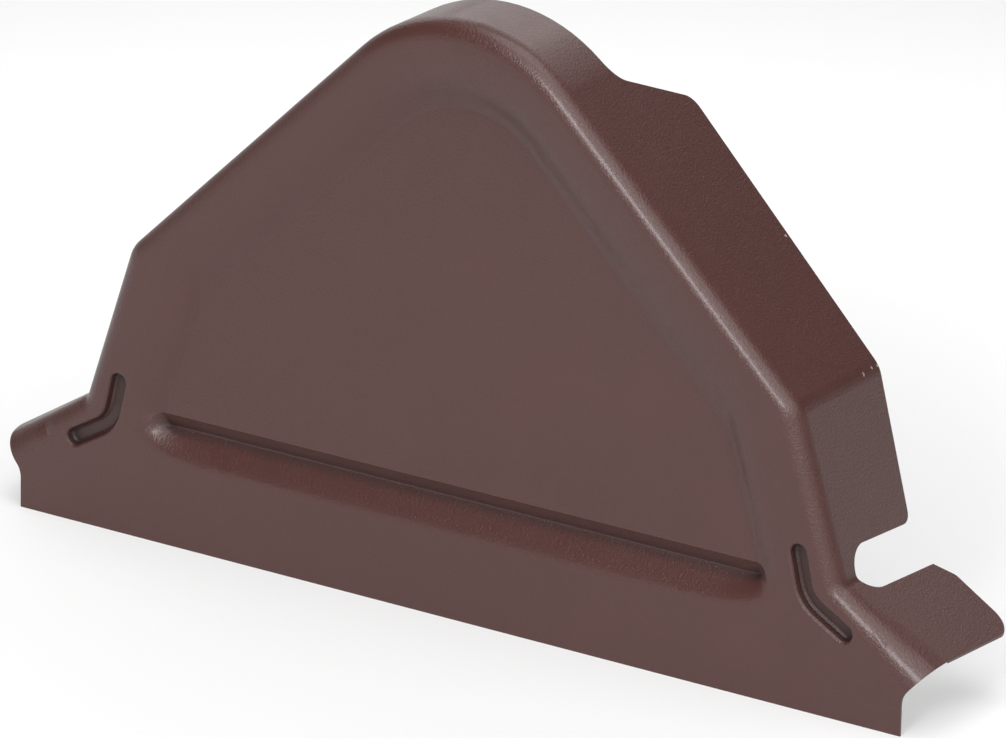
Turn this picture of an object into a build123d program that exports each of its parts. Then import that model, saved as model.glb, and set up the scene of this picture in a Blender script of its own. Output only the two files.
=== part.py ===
from build123d import *
from math import atan2, cos, degrees, hypot, radians, sin, tan
import os

# Ridge end cap: one sheet of painted steel, pressed to a house-shaped front with a flange that runs
# back over the ridge, and two short feet that reach out over the roof on either side.
# X is across the ridge, Y runs back along it from the front face, Z is up from the bottom edge.
# All sizes are millimetres, to the outside of the sheet.

# Overall sizes
sheet = 0.5
base_width = 240.0
knee_height = 69.8
slope_angle = 43.9
peak_radius = 40.0

# Corners of the flange line, seen from the front
knee_inset = 29.7
knee_radius = 8.0
waist_inset = 17.1
waist_height = 30.8
waist_radius = 2.5
foot_overhang = 7.3
foot_angle = 31.4

# Rounding between the front and the flange, which grows wider out along each foot from its root
shoulder_radius = 4.5
foot_shoulder_radius = 8.0
foot_root = 2.0

# How far back the flange runs from the front
peak_depth = 20.0
slope_depth = 39.7
knee_depth = 35.7
waist_depth = 32.4
foot_depth = 35.5

# Relief in the rear edge over the peak, as half widths at its floor and between its top corners
relief_floor = 28.7
relief_top = 37.0
relief_floor_radius = 5.5
relief_top_radius = 3.0

# Notch at each waist, where the flange turns out into the foot, and the lip of the foot behind it
notch_width = 10.7
notch_start = 8.0
notch_rise = 1.0
notch_skew = 3.0
notch_corner_radius = 2.5
notch_lip_radius = 2.0
foot_lip_start = 4.7
foot_lip_end = 9.1

# Side edges of the front and the corners of the feet
side_edge = 9.2
side_edge_radius = 5.0
side_edge_rise = 7.2
foot_neck_overhang = 6.3
foot_neck_depth = 9.0
foot_corner_radius = 5.0

# Sunk panel: its depth in the plane of the bottom edge, the lean that takes its floor deeper towards the
# peak, how far in its floor starts from each edge, and the width of the bank down to it
panel_depth = 1.1
panel_lean = 1.8
panel_slope_border = 19.8
panel_side_border = 20.6
panel_slope_bank = 15.0
panel_side_bank = 9.0
panel_foot_bank = 3.0
panel_peak_radius = 24.0
panel_knee_radius = 12.0
panel_foot_radius = 3.0

# Bank of the panel: share of its width, counted inwards, and share of the depth reached there
bank_steps = [(-0.2, -0.012), (0, 0), (0.3, 0.09), (0.6, 0.38), (0.85, 0.84), (1, 1)]

# Long bead across the foot of the panel, steep on its upper side and soft on its lower side
bead_end_border = 16.5
bead_crest = 31.7
bead_valley = 27.9
bead_toe = 19.8
bead_toe_sweep = 25.0
bead_depth = 4.2
bead_floor = 0.3
bead_end_run = 6.5
bead_toe_corner = 0.62
bead_crest_corner = 0.3

# Bead: share of its depth, then how far the toe and ends, and the crest, have drawn in at that depth
bead_steps = [
    (-0.02, -0.12, -0.06),
    (0.0, 0.0, -0.05),
    (0.1, 0.28, -0.04),
    (0.42, 0.56, 0.0),
    (0.7, 0.76, 0.42),
    (0.93, 0.92, 0.84),
    (1.0, 1.0, 1.0),
]

# Cranked rib beside each waist, placed by its elbow, with a leg up beside the side and one down by the foot
rib_width = 5.3
rib_depth = 2.2
rib_elbow_inset = 8.2
rib_elbow_drop = 4.4
rib_elbow_radius = 8.0
rib_upper = 10.6
rib_upper_angle = 77.0
rib_lower = 11.5
rib_lower_angle = 30.0

# Rib: share of its depth, and how far its wall has drawn in at that depth
rib_steps = [(-0.05, -0.15), (0.06, 0.35), (0.2, 0.6), (0.78, 0.95), (1.0, 1.5)]

# Share of the sheet by which the inner skin stands off the walls of the bead and of the ribs
bead_skin = 0.35
rib_skin = 0.6

# The pressed forms run past the trimmed edges by this much
spare = 12.0

# Places worked out from the sizes above
slope = radians(slope_angle)
foot = radians(foot_angle)
half_base = base_width / 2
knee_x = half_base - knee_inset
apex_height = knee_height + knee_x * tan(slope)
height = apex_height - peak_radius * (1 / cos(slope) - 1)
waist_x = half_base - waist_inset
side_lean = (waist_x - knee_x) / (knee_height - waist_height)
foot_end = half_base + foot_overhang
foot_neck = half_base + foot_neck_overhang
bead_half_length = waist_x - bead_end_border
far_x = foot_end + spare
far_z = waist_height - (far_x - waist_x) * tan(foot)
foot_tip = (foot_end - waist_x) / cos(foot)
foot_far = (far_x - waist_x) / cos(foot)
foot_far_radius = shoulder_radius + (foot_shoulder_radius - shoulder_radius) * foot_far / foot_tip

# Middle line of the right rib
rib_up = radians(rib_upper_angle)
rib_down = radians(rib_lower_angle)
elbow_x = waist_x - rib_elbow_inset
elbow_z = waist_height - rib_elbow_drop
rib_line = [
    (elbow_x - rib_upper * cos(rib_up), elbow_z + rib_upper * sin(rib_up)),
    (elbow_x, elbow_z),
    (elbow_x + rib_lower * cos(rib_down), elbow_z - rib_lower * sin(rib_down)),
]

# Line of the flange as seen from the front, right half
flange_line = [(0, apex_height), (knee_x, knee_height), (waist_x, waist_height), (far_x, far_z), (far_x, -spare)]
flange_radii = [peak_radius, knee_radius, waist_radius, 0, 0]

# Rear edge of the flange and outer ends of the feet as seen from above, right half
rear_edge = [
    (relief_floor, peak_depth),
    (relief_top, slope_depth),
    (knee_x, knee_depth),
    (waist_x, waist_depth),
    (waist_x + foot_lip_start, waist_depth),
    (waist_x + foot_lip_end, foot_depth),
    (foot_end, foot_depth),
    (foot_neck, foot_neck_depth),
    (foot_neck, -spare),
]
rear_radii = [relief_floor_radius, relief_top_radius, 0, 0, 0, notch_lip_radius, foot_corner_radius, 0, 0]

# Space outside the right side edge of the front, which steps out under the foot
side_cut = [
    (half_base, -spare),
    (half_base, side_edge),
    (foot_neck, side_edge + side_edge_rise),
    (far_x, side_edge + side_edge_rise),
    (far_x, -spare),
]
side_cut_radii = [0, side_edge_radius, 0, 0, 0]


def both_sides(points):
    """The points given for the right half, joined by their images on the left half."""
    return points + [(-x, z) for x, z in reversed(points) if x > 0]


def both_radii(radii):
    """Corner radii for both_sides, where the first corner lies on the middle plane."""
    return radii + radii[:0:-1]


def house(slope_gap, side_gap, floor, radii):
    """Outline like the front's own, at given distances inside its slopes and its sides."""
    slope_top = apex_height - slope_gap / cos(slope)
    side_base = waist_x - side_gap * hypot(1, side_lean)
    corner_x = (side_base - side_lean * (slope_top - waist_height)) / (1 - side_lean * tan(slope))
    corner_z = slope_top - corner_x * tan(slope)
    foot_x = side_base - side_lean * (floor - waist_height)
    corners = [(0, slope_top), (corner_x, corner_z), (foot_x, floor)]
    FilletPolyline(*both_sides(corners), radius=both_radii(radii), close=True)


def bead_outline(half_length, crest, toe, sweep):
    """Long rounded outline of the bead, with lower corners that sweep in along its lower edge."""
    crest_corner = bead_crest_corner * (crest - toe)
    crest_x = half_length - crest_corner
    crest_z = crest - crest_corner
    toe_x = half_length - sweep
    toe_z = toe + bead_toe_corner * (crest - toe)
    Line((crest_x, crest), (-crest_x, crest))
    TangentArc((-crest_x, crest), (-half_length, crest_z), tangent=(-1, 0))
    Line((-half_length, crest_z), (-half_length, toe_z))
    Bezier((-half_length, toe_z), (-half_length, toe), (-toe_x, toe))
    Line((-toe_x, toe), (toe_x, toe))
    Bezier((toe_x, toe), (half_length, toe), (half_length, toe_z))
    Line((half_length, toe_z), (half_length, crest_z))
    TangentArc((half_length, crest_z), (crest_x, crest), tangent=(0, 1))


def panel_plane(depth, lean):
    """Plane level with the panel at one stage of its bank, leaning back about the X axis."""
    return Plane(origin=(0, depth, 0), x_dir=(1, 0, 0), z_dir=(0, -cos(radians(lean)), sin(radians(lean))))


def foot_plane(distance):
    """Plane across the right foot, at a distance out from the waist corner along its slope."""
    origin = (waist_x + distance * cos(foot), 0, waist_height - distance * sin(foot))
    return Plane(origin=origin, x_dir=(0, 1, 0), z_dir=(cos(foot), 0, -sin(foot)))


def foot_section(front, rear, inset, radius):
    """Cross section of a foot, seen along it, with its outer surface on the local X axis."""
    drop = (waist_height + 2 * spare) / cos(foot)
    corners = [(front, -inset), (rear, -inset), (rear, -drop), (front, -drop)]
    FilletPolyline(*corners, radius=[radius, 0, 0, 0], close=True)


def notch_plane(side):
    """Plane that faces a waist corner squarely, with its X axis running back along the flange."""
    tilt = radians((degrees(atan2(side_lean, 1)) + 90 - foot_angle) / 2)
    facing = (side * cos(tilt), 0, sin(tilt))
    return Plane(origin=(side * waist_x, 0, waist_height), x_dir=(0, 1, 0), z_dir=facing)


def pressed_form(inset):
    """The solid form that lies inside one skin of the sheet, drawn in by the inset."""
    with BuildPart() as form:
        # Space under the flange line, with its front edge rounded over
        with BuildSketch(Plane.XZ.offset(-inset)):
            with BuildLine():
                FilletPolyline(*both_sides(flange_line), radius=both_radii(flange_radii), close=True)
            make_face()
            if inset:
                offset(amount=-inset, kind=Kind.INTERSECTION)
        extrude(amount=-(slope_depth + spare))
        rim = form.faces().sort_by(Axis.Y)[0].edges().sort_by(Axis.Z)[3:]
        fillet(rim, shoulder_radius - inset)

        # Feet, flat at the rear and with a front rounding that widens towards their ends
        split(bisect_by=foot_plane(foot_root), keep=Keep.BOTTOM)
        for distance, radius in ((foot_root, shoulder_radius), (foot_far, foot_far_radius)):
            with BuildSketch(foot_plane(distance)):
                with BuildLine():
                    foot_section(inset, foot_far_radius, inset, radius - inset)
                make_face()
        loft(ruled=True)
        with BuildSketch(foot_plane(foot_root)):
            with BuildLine():
                foot_section(foot_far_radius, slope_depth + spare, inset, 0)
            make_face()
        extrude(amount=foot_far - foot_root)
        split(bisect_by=Plane.YZ, keep=Keep.TOP)
        mirror(about=Plane.YZ)

        # Panel, sunk by a soft bank that steepens inwards and then levels out
        for across, down in bank_steps:
            short = 1 - across
            radii = [
                panel_peak_radius + short * panel_slope_bank,
                panel_knee_radius + short * panel_side_bank,
                panel_foot_radius + short * panel_foot_bank,
            ]
            with BuildSketch(panel_plane(inset + down * panel_depth, down * panel_lean)):
                with BuildLine():
                    house(
                        panel_slope_border - short * panel_slope_bank,
                        panel_side_border - short * panel_side_bank,
                        bead_valley - short * panel_foot_bank,
                        radii,
                    )
                make_face()
        loft(mode=Mode.SUBTRACT)

        # Bead
        grow = inset * bead_skin
        for down, toe_in, crest_in in bead_steps:
            with BuildSketch(Plane.XZ.offset(-inset - down * bead_depth)):
                with BuildLine():
                    bead_outline(
                        bead_half_length - toe_in * bead_end_run + grow,
                        bead_crest - crest_in * (bead_crest - bead_valley) + grow,
                        bead_toe + toe_in * (bead_valley - bead_toe - bead_floor) - grow,
                        bead_toe_sweep + toe_in * (bead_end_run - bead_toe_sweep),
                    )
                make_face()
        loft(mode=Mode.SUBTRACT)

        # Ribs
        grow = inset * rib_skin
        for side in (1, -1):
            for down, drawn_in in rib_steps:
                with BuildSketch(Plane.XZ.offset(-inset - down * rib_depth)):
                    with BuildLine():
                        FilletPolyline(*[(side * x, z) for x, z in rib_line], radius=rib_elbow_radius)
                        offset(amount=rib_width / 2 - drawn_in + grow)
                    make_face()
            loft(ruled=True, mode=Mode.SUBTRACT)
    return form.part


with BuildPart() as end_cap:
    add(pressed_form(0))
    add(pressed_form(sheet), mode=Mode.SUBTRACT)

    # Bottom edge, rear edge and ends of the feet
    with BuildSketch():
        with BuildLine():
            FilletPolyline(*both_sides(rear_edge), radius=rear_radii + rear_radii[::-1], close=True)
        make_face()
    extrude(amount=height + spare, mode=Mode.INTERSECT)

    # Side edges of the front
    for side in (1, -1):
        with BuildSketch(Plane.XZ.offset(spare)):
            with BuildLine():
                FilletPolyline(*[(side * x, z) for x, z in side_cut], radius=side_cut_radii, close=True)
            make_face()
        extrude(amount=-(spare + foot_neck_depth), mode=Mode.SUBTRACT)

    # Notches, rounded at their inner ends
    for side in (1, -1):
        with BuildSketch(notch_plane(side)):
            with Locations((notch_start + notch_width / 2, side * notch_rise)):
                Circle(notch_width / 2)
                Rectangle(slope_depth, notch_width, -side * notch_skew, align=(Align.MIN, Align.CENTER))
        extrude(amount=spare, both=True, mode=Mode.SUBTRACT)

    # Rounded corners of the flange over the mouths of the notches
    for side in (1, -1):
        mouth = notch_plane(side).from_local_coords((waist_depth, side * notch_width / 2))
        across_sheet = end_cap.edges().filter_by(lambda edge: edge.length < 2 * sheet)
        fillet(across_sheet.sort_by_distance(mouth)[0], notch_corner_radius)

end_cap.part.label = "end_cap"

os.makedirs("parts", exist_ok=True)
export_step(end_cap.part, "parts/end_cap.step")
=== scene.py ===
import math

import bpy
from mathutils import Matrix, Vector

# Ridge end cap: one pressed sheet of steel in satin chocolate-brown paint, standing on its cut bottom edge.

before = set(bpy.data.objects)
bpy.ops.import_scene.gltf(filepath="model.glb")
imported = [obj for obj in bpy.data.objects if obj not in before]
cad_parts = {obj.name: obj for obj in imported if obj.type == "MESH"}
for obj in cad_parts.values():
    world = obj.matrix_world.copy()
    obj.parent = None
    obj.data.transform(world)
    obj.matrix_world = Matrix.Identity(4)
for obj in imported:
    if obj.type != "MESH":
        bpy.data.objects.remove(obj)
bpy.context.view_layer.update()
MM = 0.001


def linear(hex_colour):
    """An sRGB hex colour as the linear RGBA that a shader takes."""
    parts = [int(hex_colour[i:i + 2], 16) / 255 for i in (1, 3, 5)]
    return [c / 12.92 if c <= 0.04045 else ((c + 0.055) / 1.055) ** 2.4 for c in parts] + [1.0]


def add_node(tree, kind, inputs=None, **settings):
    """Adds a node with its settings, and fills its inputs by a link from a socket or by a plain value."""
    node = tree.nodes.new(kind)
    for name, value in settings.items():
        setattr(node, name, value)
    for name, value in (inputs or {}).items():
        if isinstance(value, bpy.types.NodeSocket):
            tree.links.new(value, node.inputs[name])
        else:
            node.inputs[name].default_value = value
    return node


# Camera

CAMERA_AZIMUTH = math.radians(33.33)
CAMERA_ELEVATION = math.radians(19.84)
CAMERA_ROLL = math.radians(1.13)
CAMERA_TARGET = Vector((13.83, 0, 62.97)) * MM
CAMERA_DISTANCE = 2049.3 * MM
CAMERA_LENS = 328.4


def direction(azimuth, elevation):
    """Unit vector out from the object, with azimuth 0 straight in front and 90 to the right."""
    level = math.cos(elevation)
    return Vector((math.sin(azimuth) * level, -math.cos(azimuth) * level, math.sin(elevation)))


def aim(thing, target, roll=0.0):
    """Turns a camera or a lamp to look at a point, level and then rolled about its view line."""
    facing = (target - thing.location).to_track_quat("-Z", "Y").to_matrix()
    thing.matrix_world = Matrix.Translation(thing.location) @ (facing @ Matrix.Rotation(roll, 3, "Z")).to_4x4()


camera = bpy.data.objects.new("camera", bpy.data.cameras.new("camera"))
bpy.context.collection.objects.link(camera)
camera.data.lens = CAMERA_LENS
camera.location = CAMERA_TARGET + direction(CAMERA_AZIMUTH, CAMERA_ELEVATION) * CAMERA_DISTANCE
aim(camera, CAMERA_TARGET, CAMERA_ROLL)
camera.data.clip_start = 0.1
camera.data.clip_end = 50
bpy.context.scene.camera = camera
bpy.context.scene.view_settings.view_transform = "Standard"

# Light: a wide soft box in front and to the right with a brighter middle, one overhead, and paler ones
# to the right and behind

LAMP_TARGET = Vector((0, 0.02, 0.07))


def lamp(name, azimuth, elevation, distance, width, height, watts):
    """A soft rectangular lamp, aimed at the cap and not seen by the camera."""
    data = bpy.data.lights.new(name, "AREA")
    data.shape = "RECTANGLE"
    data.size = width
    data.size_y = height
    data.energy = watts
    made = bpy.data.objects.new(name, data)
    made.location = LAMP_TARGET + direction(math.radians(azimuth), math.radians(elevation)) * distance
    bpy.context.collection.objects.link(made)
    aim(made, LAMP_TARGET)
    made.visible_camera = False


lamp("wide_box", 35, 34, 1.6, 2.2, 1.6, 20.0)
lamp("wide_box_middle", 14, 26, 1.55, 0.36, 0.36, 9.0)
lamp("right_box", 75, 34, 1.8, 1.2, 1.2, 2.5)
lamp("overhead_box", 30, 84, 1.6, 1.2, 1.2, 14.5)
lamp("rear_box", 180, 44, 2.0, 1.1, 0.9, 3.8)
lamp("rear_left_box", -140, 28, 2.0, 2.0, 1.2, 10.4)

# Room: white low down, as a wall behind the floor's edge, and dim above it. Every ray sees the same room.

WALL_FADES_FROM = 0.04  # both heights are sines of the angle above the horizon
WALL_FADES_TO = 0.08
WALL_LEVEL = 1.0
ROOM_LEVEL = 0.08

world = bpy.data.worlds.new("studio")
bpy.context.scene.world = world
world.use_nodes = True
tree = world.node_tree
tree.nodes.clear()
place = add_node(tree, "ShaderNodeTexCoord")
height = add_node(tree, "ShaderNodeSeparateXYZ", {0: place.outputs["Generated"]})
level = add_node(tree, "ShaderNodeMapRange",
                 {0: height.outputs["Z"], "From Min": WALL_FADES_FROM, "From Max": WALL_FADES_TO,
                  "To Min": WALL_LEVEL, "To Max": ROOM_LEVEL})
room = add_node(tree, "ShaderNodeBackground", {"Color": linear("#FFFFFF"), "Strength": level.outputs[0]})
add_node(tree, "ShaderNodeOutputWorld", {"Surface": room.outputs[0]})

# Pale floor: matt white card, darker from a third of a metre out. Camera, glossy and transmission rays see
# it lifted to an even white, with the cap's shadow left on it near the cap.

FLOOR_HALF = 6.0
CARD_NEAR, CARD_FAR = 0.32, 0.62   # metres out over which the card darkens
LIFT_NEAR, LIFT_FAR = 0.12, 0.7    # metres out over which the lift grows
LIFT_AT_CAP, LIFT_FAR_OUT = 0.35, 0.85

floor_mesh = bpy.data.meshes.new("floor")
floor_mesh.from_pydata([(-FLOOR_HALF, -FLOOR_HALF, 0), (FLOOR_HALF, -FLOOR_HALF, 0),
                        (FLOOR_HALF, FLOOR_HALF, 0), (-FLOOR_HALF, FLOOR_HALF, 0)], [], [(0, 1, 2, 3)])
floor = bpy.data.objects.new("floor", floor_mesh)
bpy.context.collection.objects.link(floor)

card = bpy.data.materials.new("matt_white_card")
card.use_nodes = True
tree = card.node_tree
tree.nodes.clear()
place = add_node(tree, "ShaderNodeTexCoord")
reach = add_node(tree, "ShaderNodeVectorMath", {0: place.outputs["Object"]}, operation="LENGTH")
fade = add_node(tree, "ShaderNodeMapRange",
                {0: reach.outputs["Value"], "From Min": CARD_NEAR, "From Max": CARD_FAR})
tone = add_node(tree, "ShaderNodeMix",
                {"Factor": fade.outputs[0], 6: linear("#C4C4C4"), 7: linear("#303030")}, data_type="RGBA")
matt = add_node(tree, "ShaderNodeBsdfDiffuse", {"Color": tone.outputs[2]})
lift = add_node(tree, "ShaderNodeMapRange",
                {0: reach.outputs["Value"], "From Min": LIFT_NEAR, "From Max": LIFT_FAR,
                 "To Min": LIFT_AT_CAP, "To Max": LIFT_FAR_OUT})
glow = add_node(tree, "ShaderNodeEmission", {"Color": linear("#FFFFFF"), "Strength": lift.outputs[0]})
lifted = add_node(tree, "ShaderNodeAddShader", {0: matt.outputs[0], 1: glow.outputs[0]})
rays = add_node(tree, "ShaderNodeLightPath")
camera_or_glossy = add_node(tree, "ShaderNodeMath",
                            {0: rays.outputs["Is Camera Ray"], 1: rays.outputs["Is Glossy Ray"]},
                            operation="MAXIMUM")
sees_white = add_node(tree, "ShaderNodeMath",
                      {0: camera_or_glossy.outputs[0], 1: rays.outputs["Is Transmission Ray"]},
                      operation="MAXIMUM")
seen = add_node(tree, "ShaderNodeMixShader",
                {0: sees_white.outputs[0], 1: matt.outputs[0], 2: lifted.outputs[0]})
add_node(tree, "ShaderNodeOutputMaterial", {"Surface": seen.outputs[0]})
floor_mesh.materials.append(card)

# Coil-coated steel sheet, painted on both faces before it was cut and pressed. Outside: satin polyester in
# chocolate brown, an even colour with a fine grain that breaks up its soft highlights, faint draw marks
# down the flanges and a few chips at their rear edge. Inside: a thin matt grey backing coat.
# Cut edges: the bare steel between the two coats.

BROWN_DARKER = "#482A26"
BROWN_LIGHTER = "#4E2E2A"
# painted shade, mixed into the brown in narrow ribs and inner corners
PAINTED_SHADE_BROWN = "#1C0F0D"
BACKING_GREY = "#9A9893"
PRIMER_GREY = "#8F8480"
STEEL_GREY = "#7D7B78"

SATIN_FROM, SATIN_TO = 0.31, 0.40   # roughness of the outside
BACKING_ROUGHNESS = 0.6
HOLLOW_ROUGHNESS = 0.7

CLOUD_MM = 24.0           # slow drift of the brown
SHEEN_MM = 7.0            # patches a little more or less glossy, from handling
GRAIN_MM = 0.5            # the real grain is about 0.1 mm, too fine to show, so it is drawn coarser
GRAIN_DEPTH_MM = 0.16     # deeper than the real one to match
DRAW_MARK_MM = 2.5        # width of a draw mark, which runs back along the flange
DRAW_MARK_DEPTH_MM = 0.05
DRAW_MARK_STRETCH = 0.06  # a mark is as many times longer than wide as 1 over this
HOLLOW_REACH_MM = 3.0     # how far round a point its hollow is measured
HOLLOW_SHUT, HOLLOW_OPEN = 0.68, 0.94
CHIP_MM = 0.9             # nominal grain of the ragged chips
CHIP_REACH_MM = 0.42
CHIP_PLACES_MM = [(89.8, 33.1, 70.1), (89.9, 35.5, 69.9), (90.0, 29.3, 69.7), (64.3, 36.7, 94.8)]

BEHIND_MM = 400           # how far back the point lies that the whole inside faces
FLANGE_FROM_MM = 9        # faces that turn back are cut edges from here on
SOLE_UP_TO_MM = 0.3
FACES_BACK = 0.7
FACES_DOWN = -0.9

paint = bpy.data.materials.new("coil_coated_steel_satin_brown")
paint.use_nodes = True
tree = paint.node_tree
tree.nodes.clear()
place = add_node(tree, "ShaderNodeTexCoord")
where = place.outputs["Object"]
facing = place.outputs["Normal"]
axes = add_node(tree, "ShaderNodeSeparateXYZ", {0: where})
facing_axes = add_node(tree, "ShaderNodeSeparateXYZ", {0: facing})

# the inside is where the surface faces a point far behind the plate, low down on its middle line
from_behind = add_node(tree, "ShaderNodeVectorMath", {0: where, 1: (0, BEHIND_MM * MM, 0)},
                       operation="SUBTRACT")
outward = add_node(tree, "ShaderNodeVectorMath", {0: facing, 1: from_behind.outputs[0]},
                   operation="DOT_PRODUCT")
inside = add_node(tree, "ShaderNodeMath", {0: outward.outputs["Value"], 1: 0.0}, operation="LESS_THAN")

# the cut edges are the rear rim of the flanges and the bottom edge of the plate
faces_back = add_node(tree, "ShaderNodeMath", {0: facing_axes.outputs["Y"], 1: FACES_BACK},
                      operation="GREATER_THAN")
on_flange = add_node(tree, "ShaderNodeMath", {0: axes.outputs["Y"], 1: FLANGE_FROM_MM * MM},
                     operation="GREATER_THAN")
rim = add_node(tree, "ShaderNodeMath", {0: faces_back.outputs[0], 1: on_flange.outputs[0]},
               operation="MULTIPLY")
faces_down = add_node(tree, "ShaderNodeMath", {0: facing_axes.outputs["Z"], 1: FACES_DOWN},
                      operation="LESS_THAN")
at_foot = add_node(tree, "ShaderNodeMath", {0: axes.outputs["Z"], 1: SOLE_UP_TO_MM * MM}, operation="LESS_THAN")
sole = add_node(tree, "ShaderNodeMath", {0: faces_down.outputs[0], 1: at_foot.outputs[0]}, operation="MULTIPLY")
cut = add_node(tree, "ShaderNodeMath", {0: rim.outputs[0], 1: sole.outputs[0]}, operation="MAXIMUM")

# brown outside and grey inside
cloud = add_node(tree, "ShaderNodeTexNoise", {"Vector": where, "Scale": 1 / (CLOUD_MM * MM), "Detail": 3.0})
brown = add_node(tree, "ShaderNodeMix",
                 {"Factor": cloud.outputs["Fac"], 6: linear(BROWN_DARKER), 7: linear(BROWN_LIGHTER)},
                 data_type="RGBA")
coats = add_node(tree, "ShaderNodeMix",
                 {"Factor": inside.outputs[0], 6: brown.outputs[2], 7: linear(BACKING_GREY)}, data_type="RGBA")

# chips with ragged edges, down to the primer
gaps = []
for spot in CHIP_PLACES_MM:
    gap = add_node(tree, "ShaderNodeVectorMath", {0: where, 1: Vector(spot) * MM}, operation="DISTANCE")
    gaps.append(gap.outputs["Value"])
nearest = gaps[0]
for gap in gaps[1:]:
    nearest = add_node(tree, "ShaderNodeMath", {0: nearest, 1: gap}, operation="MINIMUM").outputs[0]
ragged = add_node(tree, "ShaderNodeTexNoise", {"Vector": where, "Scale": 1 / (CHIP_MM * MM), "Detail": 2.0})
chip_edge = add_node(tree, "ShaderNodeMath", {0: ragged.outputs["Fac"], 1: 2 * CHIP_REACH_MM * MM},
                     operation="MULTIPLY")
chipped = add_node(tree, "ShaderNodeMath", {0: nearest, 1: chip_edge.outputs[0]}, operation="LESS_THAN")
with_chips = add_node(tree, "ShaderNodeMix",
                      {"Factor": chipped.outputs[0], 6: coats.outputs[2], 7: linear(PRIMER_GREY)},
                      data_type="RGBA")
with_edges = add_node(tree, "ShaderNodeMix",
                      {"Factor": cut.outputs[0], 6: with_chips.outputs[2], 7: linear(STEEL_GREY)},
                      data_type="RGBA")

# painted shade: an ambient-occlusion factor darkens the brown in narrow ribs and inner corners, where shade
# falls
hollow = add_node(tree, "ShaderNodeAmbientOcclusion", {"Distance": HOLLOW_REACH_MM * MM},
                  only_local=True, samples=4)
painted_shade_and_dulling = add_node(tree, "ShaderNodeMapRange",
                   {0: hollow.outputs["AO"], "From Min": HOLLOW_SHUT, "From Max": HOLLOW_OPEN,
                    "To Min": 1.0, "To Max": 0.0})
with_painted_shade = add_node(tree, "ShaderNodeMix",
                    {"Factor": painted_shade_and_dulling.outputs[0], 6: with_edges.outputs[2], 7: linear(PAINTED_SHADE_BROWN)},
                    data_type="RGBA")

# gloss: satin outside, matter inside and in the hollows
patches = add_node(tree, "ShaderNodeTexNoise", {"Vector": where, "Scale": 1 / (SHEEN_MM * MM), "Detail": 2.0})
satin = add_node(tree, "ShaderNodeMapRange",
                 {0: patches.outputs["Fac"], "To Min": SATIN_FROM, "To Max": SATIN_TO})
gloss = add_node(tree, "ShaderNodeMix",
                 {"Factor": inside.outputs[0], "A": satin.outputs[0], "B": BACKING_ROUGHNESS})
dulled = add_node(tree, "ShaderNodeMix",
                  {"Factor": painted_shade_and_dulling.outputs[0], "A": gloss.outputs[0], "B": HOLLOW_ROUGHNESS})

# grain and draw marks all over; the marks are stretched front to back, the way the sheet was drawn back into
# the flanges
grain = add_node(tree, "ShaderNodeTexNoise",
                 {"Vector": where, "Scale": 1 / (GRAIN_MM * MM), "Detail": 2.0, "Roughness": 0.6})
stretched = add_node(tree, "ShaderNodeMapping", {"Vector": where, "Scale": (1, DRAW_MARK_STRETCH, 1)})
marks = add_node(tree, "ShaderNodeTexNoise",
                 {"Vector": stretched.outputs[0], "Scale": 1 / (DRAW_MARK_MM * MM), "Detail": 2.0})
bump_marks = add_node(tree, "ShaderNodeBump",
                      {"Height": marks.outputs["Fac"], "Strength": 0.12, "Distance": DRAW_MARK_DEPTH_MM * MM})
bump = add_node(tree, "ShaderNodeBump",
                {"Height": grain.outputs["Fac"], "Normal": bump_marks.outputs["Normal"],
                 "Strength": 1.0, "Distance": GRAIN_DEPTH_MM * MM})

surface = add_node(tree, "ShaderNodeBsdfPrincipled",
                   {"Base Color": with_painted_shade.outputs[2], "Roughness": dulled.outputs[0],
                    "Metallic": cut.outputs[0], "Normal": bump.outputs["Normal"],
                    "Coat Weight": 0.15, "Coat Roughness": 0.15})
add_node(tree, "ShaderNodeOutputMaterial", {"Surface": surface.outputs[0]})

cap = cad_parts["end_cap"]
for finish_slot in cap.material_slots:
    finish_slot.material = paint
